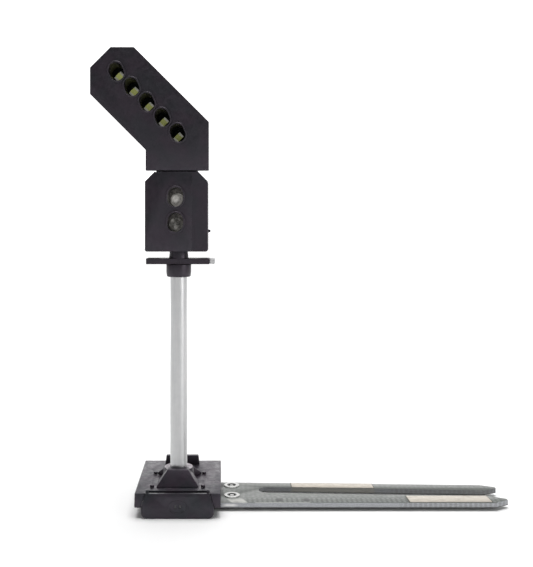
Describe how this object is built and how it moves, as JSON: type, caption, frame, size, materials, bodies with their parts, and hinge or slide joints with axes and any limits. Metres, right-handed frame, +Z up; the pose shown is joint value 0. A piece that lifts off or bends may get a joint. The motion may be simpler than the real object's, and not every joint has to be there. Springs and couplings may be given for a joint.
{
  "type": "model railway colour-light signal",
  "caption": "Model railway colour-light signal: black head and left-hand route indicator on an aluminium mast, with a flat forked contact board that slides under the track.",
  "frame": {"origin": "on the mast's axis, on the underside of the base", "axes": "+X along the contact board from the base towards the track, +Y away from the faces of the lights (a train driver looks along +Y), +Z up the mast"},
  "size_m": [0.0673, 0.018, 0.0742],
  "materials": {
    "black_moulding": "fine matt moulded texture, charcoal black",
    "laminate": "glass-fibre laminate under a clear grey-green lacquer",
    "contact_metal": "pale gold plated copper, satin",
    "tinned_metal": "tinned, bright",
    "mast_metal": "satin drawn tube",
    "pale_tip": "matt light grey",
    "phosphor": "yellow phosphor between white ends",
    "clear_resin": "water-clear moulded resin",
    "chip_black": "moulded epoxy",
    "lamp_board": "green lacquered circuit board",
    "ceramic": "tan fired ceramic",
    "enamel": "enamelled copper wire"
  },
  "bodies": {
    "signal": {"base_tub": "black_moulding", "base_cover": "black_moulding", "foot_bolt_1": "black_moulding", "foot_bolt_2": "black_moulding", "foot_bolt_3": "black_moulding", "foot_bolt_4": "black_moulding", "mast_foot": "black_moulding", "mast_collar": "black_moulding", "platform": "black_moulding", "head_shell": "black_moulding", "head_back_cover": "black_moulding", "feather_shell": "black_moulding", "feather_back_cover": "black_moulding", "contact_fork": "laminate", "rail_pad_rear": "contact_metal", "rail_pad_front": "contact_metal", "solder_eyelet_rear": "tinned_metal", "solder_eyelet_front": "tinned_metal", "slide_switch_body": "tinned_metal", "mast_tube": "mast_metal", "platform_end_tip": "pale_tip", "route_led_1": "phosphor", "route_led_2": "phosphor", "route_led_3": "phosphor", "route_led_4": "phosphor", "route_led_5": "phosphor", "head_lamp_upper": "clear_resin", "head_lamp_lower": "clear_resin", "infrared_emitter": "clear_resin", "infrared_detector": "clear_resin", "microcontroller": "chip_black", "bridge_rectifier": "chip_black", "supply_resistor": "chip_black", "sensor_bezel": "chip_black", "head_led_board": "lamp_board", "feather_led_board": "lamp_board", "smoothing_capacitor": "ceramic", "lead_common": "enamel", "lead_red": "enamel", "lead_green": "enamel", "lead_route": "enamel"},
    "slider": {"override_slider": "black_moulding"}
  },
  "joints": [
    {"name": "override_slide", "type": "slide", "parent": "signal", "child": "slider", "axis": [1, 0, 0], "range_m": [-0.001, 0.001]}
  ]
}
